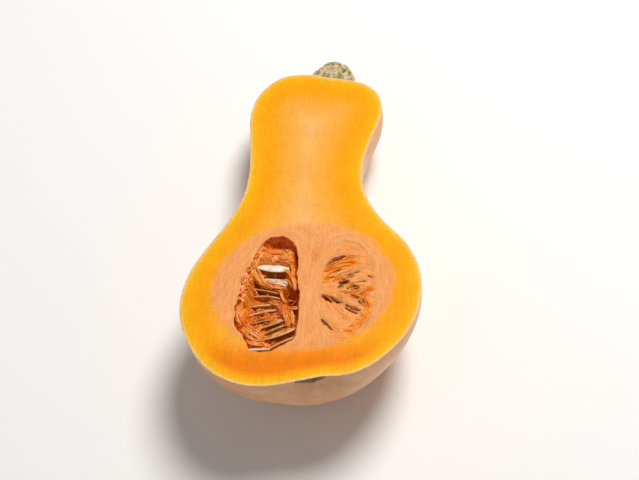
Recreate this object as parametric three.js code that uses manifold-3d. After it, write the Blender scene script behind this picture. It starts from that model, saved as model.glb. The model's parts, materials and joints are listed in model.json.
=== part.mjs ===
// Half a butternut squash, cut lengthwise through its stem, lying on its rind with the cut face up.
//
// Everything is laid out in the knife's frame, in millimetres: X across the cut, Y from the blossom end to the
// stem, and Z = 0 in the plane of the cut, with the flesh below it. At the end the whole half is tipped until
// its bulb and its neck both touch the ground, which is then Z = 0 of the finished part.

import * as THREE from "three";
import { mergeVertices } from "three/addons/utils/BufferGeometryUtils.js";
import Module from "manifold-3d";

const wasm = await Module();
wasm.setup();

// ---- Driving dimensions -----------------------------------------------------------------------------------

const LENGTH = 191; // of the flesh, from the blossom end to the shoulder beside the stem
const AXIS_X = 8; // the blossom scar and the stem sit a little to the right of the middle
const RIND_FULLNESS = 0.94; // exponent of the ribs' section: 1 is an ellipse, less is fuller
const LOBES = 10; // faint furrows down the rind
const LOBE_HEIGHT = 0.55;
const CLEARANCE = 0.3; // between pieces that touch
const POCKET = 0.5; // room round each seed in the pulp
const FLAT_SPOT = 0.55; // how far the rind has settled flat where it lies on the ground

const SEED_LENGTH = 17;
const SEED_WIDTH = 9.4;
const SEED_THICKNESS = 2.7;

// The squash's lines, as a boat builder would give them: one rib per row, from the blossom end to the stem.
// Each rib runs from the left edge of the cut, down round the keel, to the right edge. belly is how far the
// right flank swells out under the cut.
const ribs = [
  { left: [AXIS_X, 3.6], keel: [3.6, 0], right: [AXIS_X, 3.6], belly: 0 },
  { left: [1, 2.2], keel: [2.6, 4.5], right: [15, 4.9], belly: 0 },
  { left: [-13, 0], keel: [1.6, 11], right: [24, 5.2], belly: 0 },
  { left: [-27, 2.2], keel: [2.6, 20], right: [34, 9.4], belly: 0 },
  { left: [-40, 10], keel: [7.8, 30], right: [43, 17], belly: -1.5 },
  { left: [-49, 22], keel: [17.5, 41], right: [51, 27], belly: -2.5 },
  { left: [-55, 36], keel: [32, 50], right: [56, 40], belly: -1.5 },
  { left: [-56.5, 50], keel: [47, 54.5], right: [57.4, 52], belly: 0 },
  { left: [-53, 66], keel: [63, 54], right: [55.5, 65], belly: 0.5 },
  { left: [-46, 80], keel: [79, 47.5], right: [49, 79], belly: 0.5 },
  { left: [-37, 96], keel: [95, 39.5], right: [36, 94.5], belly: 0 },
  { left: [-31.5, 112], keel: [112, 33.5], right: [28, 111], belly: 0 },
  { left: [-30.4, 128], keel: [129, 32], right: [26.5, 127], belly: 1 },
  { left: [-31.8, 146], keel: [147, 34], right: [30.5, 145], belly: 2 },
  { left: [-33.2, 164], keel: [164, 35], right: [35.2, 162], belly: 1.5 },
  { left: [-29.6, 178], keel: [178, 29.5], right: [32.5, 175], belly: 0.5 },
  { left: [-20, 188.6], keel: [186.5, 19.5], right: [25, 182.4], belly: 0 },
  { left: [-9, LENGTH], keel: [189, 9], right: [16.5, 185.6], belly: 0 },
  { left: [AXIS_X, 188], keel: [188, 0], right: [AXIS_X, 188], belly: 0 },
];

// The seed chambers either side of the fibrous wall that runs up the middle.
const chambers = {
  left: { centre: [-14.5, 51.5], left: 15.6, right: 14.2, halfLength: 33, depth: 21, fullness: 0.72 },
  right: { centre: [21, 51], left: 11.5, right: 14.5, halfLength: 29, depth: 15, fullness: 0.9 },
};

// Seeds. heading turns the long axis in the plane of the cut, from +X; lean tips the broad face away from the
// blossom end, so 0 lies flat and 90 stands on edge; dive sinks the end that heading points to.
const leftSeeds = [
  { at: [-14.6, 68.5, -4.4], heading: -4, lean: 26, dive: 3 },
  { at: [-12.8, 62.3, -7.2], heading: -8, lean: 36, dive: 4 },
  { at: [-17.6, 57.4, -8.2], heading: -11, lean: 64, dive: 4 },
  { at: [-16.8, 53.2, -8.6], heading: -5, lean: 76, dive: 5 },
  { at: [-18.8, 49.4, -9.4], heading: 8, lean: 70, dive: 5 },
  { at: [-19.2, 45.4, -9.2], heading: 15, lean: 62, dive: 3 },
  { at: [-12.0, 46.2, -15.2], heading: 6, lean: 12, dive: 0 },
  { at: [-21.4, 40.8, -10.4], heading: 13, lean: 62, dive: -2 },
  { at: [-12.4, 39.0, -8.2], heading: 20, lean: 52, dive: -3 },
  { at: [-12.0, 35.6, -9.2], heading: 22, lean: 64, dive: -4 },
  { at: [-9.2, 32.0, -6.6], heading: 20, lean: 48, dive: -4 },
  { at: [-8.2, 27.8, -8.6], heading: 24, lean: 64, dive: -5 },
  { at: [-20.4, 22.0, -5.0], heading: 7, lean: 58, dive: 3 },
];
const rightSeeds = [
  { at: [14.9, 70.6, -4.8], heading: 34, lean: 48, dive: 0 },
  { at: [24.6, 63.2, -4.8], heading: 22, lean: 54, dive: 3 },
  { at: [27.6, 58.0, -5.0], heading: 8, lean: 56, dive: 2 },
  { at: [13.6, 50.6, -9.4], heading: -21, lean: 66, dive: 2 },
  { at: [25.0, 48.8, -6.0], heading: -28, lean: 62, dive: 0 },
  { at: [24.8, 43.2, -3.9], heading: -34, lean: 34, dive: -2 },
  { at: [13.6, 35.4, -5.0], heading: -46, lean: 58, dive: 0 },
];

// ---- From three.js meshes to solids and back --------------------------------------------------------------

function solidOf(geometry) {
  const bare = geometry.clone();
  bare.deleteAttribute("normal");
  bare.deleteAttribute("uv");
  const merged = mergeVertices(bare, 1e-4);
  return new wasm.Manifold(
    new wasm.Mesh({
      numProp: 3,
      vertProperties: merged.getAttribute("position").array,
      triVerts: new Uint32Array(merged.index.array),
    }),
  );
}

function geometryOf(solid) {
  const mesh = solid.getMesh();
  const geometry = new THREE.BufferGeometry();
  geometry.setAttribute("position", new THREE.BufferAttribute(mesh.vertProperties, 3));
  geometry.setIndex(new THREE.BufferAttribute(mesh.triVerts, 1));
  geometry.computeVertexNormals();
  return geometry;
}

// Moves every point of a geometry by a function of the point.
function shaped(geometry, place) {
  const position = geometry.getAttribute("position");
  const point = new THREE.Vector3();
  for (let i = 0; i < position.count; i++) {
    place(point.fromBufferAttribute(position, i));
    position.setXYZ(i, point.x, point.y, point.z);
  }
  return geometry;
}

// A block that fills everything between two heights, to cut with.
function slab(low, high) {
  const span = 2 * LENGTH;
  return new THREE.BoxGeometry(span, span, high - low).translate(0, LENGTH / 2, (low + high) / 2);
}

const aboveTheCut = solidOf(slab(0, LENGTH));

// ---- The squash's outside ---------------------------------------------------------------------------------

// Three smooth lines through the ribs' ends and keels, and a fourth that carries the belly.
const line = (pointOf) => new THREE.CatmullRomCurve3(ribs.map(pointOf), false, "centripetal");
const leftLine = line(({ left: [x, y] }) => new THREE.Vector3(x, y, 0));
const rightLine = line(({ right: [x, y] }) => new THREE.Vector3(x, y, 0));
const keelLine = line(({ keel: [y, depth] }) => new THREE.Vector3(0, y, -depth));
const bellyLine = line(({ belly }, i) => new THREE.Vector3(i, belly, 0));

// sin or cos of an angle, made fuller.
const full = (wave, fullness) => Math.sign(wave) * Math.abs(wave) ** fullness;

// The rind's place at t, from 0 at the blossom end to 1 at the stem, and at angle a round the rib, from
// -90 degrees at the left edge of the cut through 0 at the keel to +90 degrees at the right edge.
function rindPoint(t, a, point) {
  const left = leftLine.getPoint(t);
  const right = rightLine.getPoint(t);
  const keel = keelLine.getPoint(t);
  const belly = bellyLine.getPoint(t).y;
  const across = full(Math.sin(a), RIND_FULLNESS);
  const down = full(Math.cos(a), RIND_FULLNESS);
  const edgeY = a < 0 ? left.y : right.y;
  const towardsEdge = Math.sin(a) ** 2;
  const furrow = LOBE_HEIGHT * Math.cos(LOBES * a) * Math.cos(a) * Math.sin(Math.PI * t);
  point.x = (left.x + right.x) / 2 + (across * (right.x - left.x)) / 2;
  point.x += Math.max(0, Math.sin(2 * a)) * Math.sign(Math.cos(a)) * belly;
  point.y = THREE.MathUtils.lerp(keel.y, edgeY, towardsEdge);
  point.z = down * (keel.z - furrow);
}

// The whole fruit, mirrored about the knife: a sphere whose poles are the blossom scar and the stem.
function wholeFruit() {
  const around = 68;
  const along = 52;
  return shaped(new THREE.SphereGeometry(1, around, along), (point) => {
    const t = 1 - Math.acos(THREE.MathUtils.clamp(point.y, -1, 1)) / Math.PI;
    const a = Math.hypot(point.x, point.z) < 1e-9 ? 0 : Math.atan2(point.x, -point.z);
    rindPoint(t, a, point);
  });
}

// ---- The stem ---------------------------------------------------------------------------------------------

// A corky stub that flares where it joins the fruit, with five blunt ridges. The knife passes above its middle.
const stemAt = { x: AXIS_X, root: 184, depth: 5.6 };
const STEM_RIDGES = 5;
const STEM_RIDGE_HEIGHT = 0.075; // of its radius

function stemShape(grow) {
  const profile = [
    [0, -grow],
    [8.6 + grow, -grow],
    [10.4 + grow, 3.2],
    [10.7 + grow, 5.4],
    [9.2, 8],
    [7.4, 10.6],
    [6.3, 13.2],
    [4.6, 14.9],
    [0, 15.4],
  ].map(([radius, height]) => new THREE.Vector2(radius, height));
  return shaped(new THREE.LatheGeometry(profile, 30), (point) => {
    const a = Math.atan2(point.x, point.z);
    const ridge = 1 + STEM_RIDGE_HEIGHT * Math.cos(STEM_RIDGES * a);
    point.x *= ridge;
    point.z *= ridge;
  }).translate(stemAt.x, stemAt.root, -stemAt.depth);
}

// ---- The seed chambers and the stringy pulp in them -------------------------------------------------------

// An egg-shaped hollow whose inner side, against the middle wall, is the straighter one. grow makes it larger.
function chamberShape({ centre: [x, y], left, right, halfLength, depth, fullness }, grow) {
  return shaped(new THREE.SphereGeometry(1, 24, 14), (point) => {
    const across = full(point.x, fullness);
    point.x = x + across * ((point.x < 0 ? left : right) + grow);
    point.y = y + point.y * (halfLength + grow);
    point.z *= depth + grow;
  });
}

// How far the pulp's surface lies under the cut in the open left chamber: it is a shelf at the stem end, with a
// slot above it, and it sinks in a deep hollow beside the middle wall.
function bedDepth(x, y) {
  const dip = (cx, cy, radius, depth) =>
    depth * Math.exp(-((x - cx) ** 2 + (y - cy) ** 2) / radius ** 2);
  return 10.5 + dip(-2, 51, 7, 7) + dip(-11, 83, 4, 4) - dip(-13, 75.5, 7, 6) - dip(-28, 52, 8, 4);
}

function leftPulp(pockets) {
  const bed = shaped(new THREE.BoxGeometry(40, 76, 30, 12, 24, 1), (point) => {
    point.x += chambers.left.centre[0];
    point.y += chambers.left.centre[1];
    point.z = point.z > 0 ? -bedDepth(point.x, point.y) : -30;
  });
  return solidOf(chamberShape(chambers.left, -CLEARANCE)).intersect(solidOf(bed)).subtract(pockets);
}

// The right chamber is cut through its pulp, flush with the knife. Each seed lies in a slit between the fibres.
function rightPulp(pockets) {
  const slit = { halfLength: 8.6, halfWidth: 2.4, depth: 5.5 };
  const slits = rightSeeds.map(({ at: [x, y], heading }) =>
    solidOf(
      new THREE.SphereGeometry(1, 12, 8)
        .scale(slit.halfLength, slit.halfWidth, slit.depth)
        .rotateZ(THREE.MathUtils.degToRad(heading))
        .translate(x, y, 0),
    ),
  );
  return slits
    .reduce((pulp, one) => pulp.subtract(one), solidOf(chamberShape(chambers.right, -CLEARANCE)))
    .subtract(pockets)
    .subtract(aboveTheCut);
}

// ---- Seeds ------------------------------------------------------------------------------------------------

// A flat teardrop with a thin rim, pointed at its -X end.
function seedShape(grow) {
  return shaped(new THREE.SphereGeometry(1, 12, 6).rotateZ(Math.PI / 2), (point) => {
    const along = point.x;
    const breadth = 1 - 0.26 * (1 - along) ** 2 * 0.5;
    const bulge = 1 - 0.45 * Math.abs(point.y);
    point.x = along * (SEED_LENGTH / 2 + grow);
    point.y *= breadth * (SEED_WIDTH / 2 + grow);
    point.z *= bulge * (SEED_THICKNESS / 2) + grow;
  });
}

function seedPlace({ at, heading, lean, dive }) {
  const turn = new THREE.Euler(
    THREE.MathUtils.degToRad(-lean),
    THREE.MathUtils.degToRad(dive),
    THREE.MathUtils.degToRad(heading),
    "ZYX",
  );
  return new THREE.Matrix4().makeRotationFromEuler(turn).setPosition(...at);
}

// The room that a set of seeds takes up in the pulp round them.
function pocketsOf(seeds) {
  return seeds
    .map((seed) => solidOf(seedShape(POCKET).applyMatrix4(seedPlace(seed))))
    .reduce((all, one) => all.add(one));
}

// ---- How the half lies ------------------------------------------------------------------------------------

// The slope of the line that touches the keel under the bulb and under the neck without cutting it.
function groundSlope() {
  const keel = keelLine.getPoints(200);
  const bulb = keel.filter(({ y }) => y < LENGTH / 2);
  const neck = keel.filter(({ y }) => y >= LENGTH / 2);
  const slopeFrom = (from) => Math.min(...neck.map((to) => (to.z - from.z) / (to.y - from.y)));
  return Math.max(...bulb.map(slopeFrom));
}

const outside = solidOf(wholeFruit()).subtract(aboveTheCut);
const stem = solidOf(stemShape(0)).subtract(aboveTheCut);

const half = new THREE.Group();
half.rotation.x = -Math.atan(groundSlope());
half.updateMatrix();

// The box round the tipped half, which the group's place centres over the origin.
const box = new THREE.Box3().setFromBufferAttribute(
  geometryOf(outside.add(stem)).applyMatrix4(half.matrix).getAttribute("position"),
);
half.position.set(
  -(box.min.x + box.max.x) / 2,
  -(box.min.y + box.max.y) / 2,
  -(box.min.z + FLAT_SPOT),
);
half.updateMatrix();

const ground = solidOf(slab(-LENGTH, 0).translate(0, -LENGTH / 2, 0).applyMatrix4(half.matrix.clone().invert()));

// ---- Pieces -----------------------------------------------------------------------------------------------

const finish = {
  flesh: new THREE.MeshStandardMaterial({ color: "#f9a63a", roughness: 0.45 }),
  stem: new THREE.MeshStandardMaterial({ color: "#a99b6c", roughness: 0.9 }),
  pulp: new THREE.MeshStandardMaterial({ color: "#e8862e", roughness: 0.4 }),
  seed: new THREE.MeshStandardMaterial({ color: "#dcc9a0", roughness: 0.5 }),
};

function piece(name, geometry, material) {
  const mesh = new THREE.Mesh(geometry, material);
  mesh.name = name;
  half.add(mesh);
  return mesh;
}

const leftPockets = pocketsOf(leftSeeds);
const rightPockets = pocketsOf(rightSeeds);

const flesh = outside
  .subtract(solidOf(chamberShape(chambers.left, 0)))
  .subtract(solidOf(chamberShape(chambers.right, 0)))
  .subtract(leftPockets)
  .subtract(rightPockets)
  .subtract(solidOf(stemShape(CLEARANCE)))
  .subtract(ground);

piece("flesh", geometryOf(flesh), finish.flesh);
piece("stem", geometryOf(stem), finish.stem);
piece("pulp_left", geometryOf(leftPulp(leftPockets)), finish.pulp);
piece("pulp_right", geometryOf(rightPulp(rightPockets)), finish.pulp);

[...leftSeeds, ...rightSeeds].forEach((seed, i) => {
  const mesh = piece(`seed_${String(i + 1).padStart(2, "0")}`, seedShape(0), finish.seed);
  mesh.applyMatrix4(seedPlace(seed));
});

const squash = new THREE.Group();
squash.add(half);

export default squash;
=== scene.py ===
"""Half a butternut squash, cut lengthwise and laid on its rind with the cut face up.

The pieces are worked in the knife's frame, in millimetres: X across the cut, Y from the blossom end to the
stem, Z = 0 in the plane of the cut with the flesh below. Each finished mesh is then carried into the shared
frame, in metres, in which the half lies on its rind.
"""

import json
import math
import random

import bmesh
import bpy
from mathutils import Matrix, Vector, noise
from mathutils.bvhtree import BVHTree


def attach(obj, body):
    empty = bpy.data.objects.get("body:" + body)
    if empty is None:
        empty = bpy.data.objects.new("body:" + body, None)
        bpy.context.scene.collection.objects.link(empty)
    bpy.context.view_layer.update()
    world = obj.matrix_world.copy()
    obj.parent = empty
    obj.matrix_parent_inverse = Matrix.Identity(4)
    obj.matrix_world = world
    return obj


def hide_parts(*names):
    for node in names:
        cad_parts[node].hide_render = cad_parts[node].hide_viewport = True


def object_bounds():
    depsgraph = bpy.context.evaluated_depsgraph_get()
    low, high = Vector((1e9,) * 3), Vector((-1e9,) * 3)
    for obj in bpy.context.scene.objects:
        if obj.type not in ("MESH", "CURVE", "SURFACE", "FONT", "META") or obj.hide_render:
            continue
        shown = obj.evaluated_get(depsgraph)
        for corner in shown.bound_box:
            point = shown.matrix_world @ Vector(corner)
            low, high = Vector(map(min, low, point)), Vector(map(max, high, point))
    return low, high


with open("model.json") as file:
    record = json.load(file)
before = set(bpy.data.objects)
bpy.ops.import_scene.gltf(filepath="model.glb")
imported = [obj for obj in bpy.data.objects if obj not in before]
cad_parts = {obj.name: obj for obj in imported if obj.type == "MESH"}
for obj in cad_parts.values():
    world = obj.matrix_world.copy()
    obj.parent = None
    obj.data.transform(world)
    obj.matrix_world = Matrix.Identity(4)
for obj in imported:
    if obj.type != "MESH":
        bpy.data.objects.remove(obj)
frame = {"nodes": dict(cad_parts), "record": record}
cad_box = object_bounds()

# ---- The knife ---------------------------------------------------------------------------------------------
# One stroke halved the fruit from the blossom end to the stem. Its plane is the record's cut_face, whose
# point lies on the mid-line, part of the way up the neck.

cut_face = next(mount for mount in frame["record"]["mounts"] if mount["name"] == "cut_face")
MOUNT_FROM_BLOSSOM_END = 140
half_tilt = math.atan2(cut_face["axis"][1], cut_face["axis"][2])
to_shared = (
    Matrix.Translation(cut_face["pos_m"])
    @ Matrix.Rotation(-half_tilt, 4, "X")
    @ Matrix.Scale(0.001, 4)
    @ Matrix.Translation((0, -MOUNT_FROM_BLOSSOM_END, 0))
)
to_knife = to_shared.inverted()

# ---- Camera and light --------------------------------------------------------------------------------------
# The camera looks down past the blossom end onto the cut, turned a little so that the neck leans right. A
# soft window stands high beyond the neck, a weak pale panel stands on the near left, and a pale room does the
# rest.

AIM = Vector((7.8, 81.2, 0))
CAMERA_FROM_CUT = math.radians(38)
CAMERA_TO_THE_RIGHT = math.radians(13)
CAMERA_ROLL = math.radians(12)
CAMERA_DISTANCE = 680

towards_camera = Vector((
    math.sin(CAMERA_FROM_CUT) * math.sin(CAMERA_TO_THE_RIGHT),
    -math.sin(CAMERA_FROM_CUT) * math.cos(CAMERA_TO_THE_RIGHT),
    math.cos(CAMERA_FROM_CUT),
))
camera = bpy.data.objects.new("camera", bpy.data.cameras.new("camera"))
camera.data.lens = 80
camera.data.sensor_width = 36
camera.data.clip_start = 0.01
right = Vector((math.cos(CAMERA_TO_THE_RIGHT), math.sin(CAMERA_TO_THE_RIGHT), 0))
turn = Matrix((right, towards_camera.cross(right), towards_camera)).transposed().to_4x4()
turn = Matrix.Rotation(-half_tilt, 4, "X") @ turn @ Matrix.Rotation(-CAMERA_ROLL, 4, "Z")
camera.matrix_world = Matrix.Translation(to_shared @ (AIM + towards_camera * CAMERA_DISTANCE)) @ turn
bpy.context.scene.collection.objects.link(camera)
bpy.context.scene.camera = camera


def softbox(name, place, size, watts, colour):
    lamp = bpy.data.lights.new(name, "AREA")
    lamp.shape = "DISK"
    lamp.size = size
    lamp.energy = watts
    lamp.color = colour
    holder = bpy.data.objects.new(name, lamp)
    holder.location = place
    holder.rotation_euler = (-Vector(place)).to_track_quat("-Z", "Y").to_euler()
    bpy.context.scene.collection.objects.link(holder)


softbox("window", (0.5, 0.6, 1.4), 0.6, 23, (1.0, 0.985, 0.96))
softbox("bounce", (-1.0, -0.5, 1.1), 1.4, 1.2, (1.0, 1.0, 1.0))

world = bpy.data.worlds.new("pale room")
world.use_nodes = True
world.node_tree.nodes["Background"].inputs["Color"].default_value = (1, 1, 1, 1)
world.node_tree.nodes["Background"].inputs["Strength"].default_value = 0.22
bpy.context.scene.world = world
bpy.context.scene.view_settings.view_transform = "Standard"


# ---- Floor -------------------------------------------------------------------------------------------------
# A plain white sheet of paper under the squash. It belongs to the stage and not to the squash, and it is here
# so that the half stands on something and throws its shadow.


def linear(hex_colour):
    """An sRGB hex colour as the shaders' linear red, green, blue and a full alpha."""
    channels = [int(hex_colour[i : i + 2], 16) / 255 for i in (1, 3, 5)]
    return (*[c / 12.92 if c < 0.04045 else ((c + 0.055) / 1.055) ** 2.4 for c in channels], 1)


def material(name, colour, **finish):
    """A new material of that average colour, with its node tree and its shader."""
    made = bpy.data.materials.new(name)
    made.use_nodes = True
    shader = made.node_tree.nodes["Principled BSDF"]
    shader.inputs["Base Color"].default_value = linear(colour)
    for setting, value in finish.items():
        shader.inputs[setting.replace("_", " ")].default_value = value
    return made, made.node_tree, shader


# Matt white paper: it takes the soft shadow and mirrors nothing.
sheet, _, _ = material("white paper", "#fbfaf9", Roughness=0.9)
floor_mesh = bmesh.new()
bmesh.ops.create_grid(floor_mesh, x_segments=2, y_segments=2, size=4)
floor = bpy.data.objects.new("floor", bpy.data.meshes.new("floor"))
floor_mesh.to_mesh(floor.data)
floor.data.materials.append(sheet)
bpy.context.scene.collection.objects.link(floor)

# ---- The fruit, before it is cut ---------------------------------------------------------------------------
# The whole fruit is grown again from the rind of the half: its rind is mirrored about the knife, closed under
# the stem and smoothed, so that everything after this can be cut from it as the real thing was.


def object_of(mesh, name):
    holder = bpy.data.objects.new(name, mesh)
    bpy.context.scene.collection.objects.link(holder)
    return holder


def mesh_of(work, name):
    mesh = bpy.data.meshes.new(name)
    work.to_mesh(mesh)
    work.free()
    return mesh


def applied(holder, name):
    """The holder's mesh with its modifiers applied. The holder is thrown away."""
    finished = holder.evaluated_get(bpy.context.evaluated_depsgraph_get())
    mesh = bpy.data.meshes.new_from_object(finished)
    bpy.data.objects.remove(holder)
    mesh.name = name
    return mesh


def faces_joined_to(face):
    """All the faces that can be reached from this one over shared edges."""
    found = {face}
    to_visit = [face]
    while to_visit:
        for edge in to_visit.pop().edges:
            for other in edge.link_faces:
                if other not in found:
                    found.add(other)
                    to_visit.append(other)
    return found


SAME_PLACE = 0.01
NEAR_THE_CUT = 0.03
STEM_AXIS = Vector((8, 0, -5.6))
SOCKET_RADIUS = 12.2
SOCKET_FLOOR = 184.5


def in_the_socket(face):
    """Whether the face lines the hole in the top of the neck that the stem sits in."""
    centre = face.calc_center_median()
    outward = Vector((centre.x - STEM_AXIS.x, 0, centre.z - STEM_AXIS.z))
    if centre.y < SOCKET_FLOOR - 3 or outward.length > SOCKET_RADIUS:
        return False
    return centre.y < SOCKET_FLOOR or face.normal.dot(outward.normalized()) < -0.3


work = bmesh.new()
work.from_mesh(frame["nodes"]["flesh"].data)
work.transform(to_knife)
bmesh.ops.remove_doubles(work, verts=work.verts, dist=SAME_PLACE)
on_the_cut = [f for f in work.faces if all(abs(v.co.z) < NEAR_THE_CUT for v in f.verts)]
bmesh.ops.delete(work, geom=on_the_cut, context="FACES")
lowest = min(work.faces, key=lambda f: f.calc_center_median().z)
rind_faces = faces_joined_to(lowest)
spare = [f for f in work.faces if f not in rind_faces or in_the_socket(f)]
bmesh.ops.delete(work, geom=spare, context="FACES")
for vert in work.verts:
    if abs(vert.co.z) < NEAR_THE_CUT:
        vert.co.z = 0
bmesh.ops.join_triangles(work, faces=work.faces, angle_face_threshold=0.6, angle_shape_threshold=1.2)
bmesh.ops.mirror(work, geom=work.verts[:] + work.edges[:] + work.faces[:], axis="Z", merge_dist=0.02)
bmesh.ops.holes_fill(work, edges=[e for e in work.edges if e.is_boundary], sides=0)
bmesh.ops.recalc_face_normals(work, faces=work.faces)
crease = work.edges.layers.float.new("crease_edge")
for edge in work.edges:
    if all(v.co.z == 0 for v in edge.verts):
        edge[crease] = 1
whole = object_of(mesh_of(work, "whole fruit"), "whole fruit")
smooth = whole.modifiers.new("smooth", "SUBSURF")
smooth.levels = smooth.render_levels = 2
smooth.use_limit_surface = False
whole = object_of(applied(whole, "whole fruit"), "whole fruit")
skin_tree = BVHTree.FromObject(whole, bpy.context.evaluated_depsgraph_get())

# ---- The seed chambers' shapes -----------------------------------------------------------------------------
# Two egg-shaped chambers lie either side of the fibrous wall. The left one is open: its pulp has pulled away,
# and left a torn rim. The right one is still full, and the knife went through its pulp.


def fuller(wave, fullness):
    """A wave made fuller when fullness is under 1, and leaner when it is over 1."""
    return math.copysign(abs(wave) ** fullness, wave)


def ragged(place, size, height):
    """A smooth random height of about plus or minus height, with lumps of that size, all in millimetres."""
    return height * noise.noise(place / size)


def fade(value, low, high):
    """0 at low, 1 at high, with soft ends. low may be above high."""
    part = min(max((value - low) / (high - low), 0), 1)
    return part * part * (3 - 2 * part)


RIGHT_CENTRE = Vector((21, 51, 0))
RIGHT_CHAMBER = dict(left=11.5, right=14.5, half_length=29, depth=15, fullness=0.9)
LEFT_CENTRE = Vector((-14, 51, 0))
LEFT_DEPTH = 21
LEFT_RIM = [
    (-19, 81.1), (-16.1, 83.2), (-13.1, 84.2), (-8.9, 83.6), (-5.9, 81.3), (-3.5, 77.4), (-2.2, 72.9),
    (-1.5, 68.5), (-1.9, 62.4), (-1.3, 55), (0.4, 48.9), (0.3, 42.9), (0.3, 37.6), (0.2, 30.6), (-0.3, 25.4),
    (-3.6, 23.2), (-7.8, 20.6), (-11.6, 18.6), (-15.2, 17.9), (-20.3, 18.7), (-22.7, 23.6), (-25.2, 28.6),
    (-28, 32.5), (-29.9, 37.2), (-30.1, 41.4), (-29.9, 46.2), (-29.2, 49.8), (-28.2, 54.6), (-28.1, 59.5),
    (-26.9, 63.2), (-25, 67.4), (-23.8, 71.2), (-22.2, 75.5),
]


def right_chamber(rounds):
    """The full chamber: an egg, flatter against the middle wall."""
    work = bmesh.new()
    bmesh.ops.create_uvsphere(work, u_segments=rounds, v_segments=rounds // 2, radius=1)
    sizes = RIGHT_CHAMBER
    for vert in work.verts:
        x, z, y = vert.co
        across = fuller(x, sizes["fullness"]) * (sizes["left"] if x < 0 else sizes["right"])
        vert.co = RIGHT_CENTRE + Vector((across, sizes["half_length"] * y, sizes["depth"] * z))
    work.normal_update()
    bmesh.ops.recalc_face_normals(work, faces=work.faces)
    return work


rim_turns = sorted(
    (math.atan2(y - LEFT_CENTRE.y, x - LEFT_CENTRE.x), math.hypot(y - LEFT_CENTRE.y, x - LEFT_CENTRE.x))
    for x, y in LEFT_RIM
)


def rim_reach(turn):
    """How far the left chamber's rim is from its centre, in that direction."""
    last = rim_turns[-1]
    before = (last[0] - math.tau, last[1])
    for after in (*rim_turns, (rim_turns[0][0] + math.tau, rim_turns[0][1])):
        if turn <= after[0]:
            part = (turn - before[0]) / (after[0] - before[0])
            return before[1] + (after[1] - before[1]) * part
        before = after
    return before[1]


def left_chamber(rounds, torn):
    """The open chamber. It is undercut a little below its rim; torn roughens its wall."""
    work = bmesh.new()
    bmesh.ops.create_uvsphere(work, u_segments=rounds, v_segments=rounds // 2, radius=1)
    for vert in work.verts:
        out = Vector((vert.co.x, vert.co.y, 0))
        wide = out.length ** 0.55 if out.length > 1e-6 else 0
        down = fuller(vert.co.z, 1.15)
        reach = rim_reach(math.atan2(out.y, out.x)) if wide else 0
        undercut = 1 + 0.07 * fade(abs(down), 0, 0.2) - 0.07 * fade(abs(down), 0.4, 0.8)
        out = out.normalized() if wide else out
        vert.co = LEFT_CENTRE + out * reach * wide * undercut + Vector((0, 0, LEFT_DEPTH * down))
        if torn:
            tear = ragged(vert.co, 7, 1.2) + ragged(vert.co, 2.4, 0.8) + ragged(vert.co, 1.1, 0.35)
            leftward = fade(vert.co.x, -14, -26)
            recess = fade(vert.co.y, 73, 79)
            streaks = noise.noise(Vector((vert.co.x / 1.1, vert.co.y / 4, vert.co.z / 4)))
            tear = tear * (0.55 + 0.6 * leftward) + 1.1 * streaks * recess
            vert.co += (out + Vector((0, 0, math.copysign(0.3, down)))) * tear
    work.normal_update()
    bmesh.ops.recalc_face_normals(work, faces=work.faces)
    return work


chamber_trees = [BVHTree.FromBMesh(made) for made in (left_chamber(64, torn=False), right_chamber(64))]

# ---- Seeds -------------------------------------------------------------------------------------------------
# Flat teardrop seeds in a tough, fibrous, cream husk with a raised rim. Those that came loose clean are
# nearly white; the rest are stained tan and brown by the wet pulp. Each is shaped where its plain solid lies.


def lie_of(node):
    """A seed's centre, and its directions: towards the blunt end, across, and out of its upper face."""
    points = [to_knife @ vert.co for vert in node.data.vertices]
    far = max(points, key=lambda point: (point - points[0]).length)
    tip = max(points, key=lambda point: (point - far).length)
    centre = (far + tip) / 2
    along = (far - centre).normalized()

    def off_axis(point):
        return (point - centre) - along * (point - centre).dot(along)

    blunt_side = sum(off_axis(p).length * (p - centre).dot(along) for p in points)
    if blunt_side < 0:
        along.negate()
    across = off_axis(max(points, key=lambda point: off_axis(point).length)).normalized()
    upward = along.cross(across)
    if upward.z < 0:
        across.negate()
        upward.negate()
    return centre, along, across, upward, (far - tip).length / 2


SEEDS = 20
LEFT_SEEDS = 13
SEED_HALF_WIDTH = 4.55
SEED_HALF_THICKNESS = 1.28
SEED_END_SLACK = 0.15
# How stained each husk is, from 0, clean, to 1, brown.
HUSK_STAIN = {
    1: 0.0, 2: 0.12, 3: 0.8, 4: 0.62, 5: 0.55, 6: 0.5, 7: 1.0, 8: 0.95, 9: 0.56, 11: 0.5, 12: 0.52, 13: 0.22,
}
LEFT_STAIN = 0.72
RIGHT_STAIN = 0.62

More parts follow.
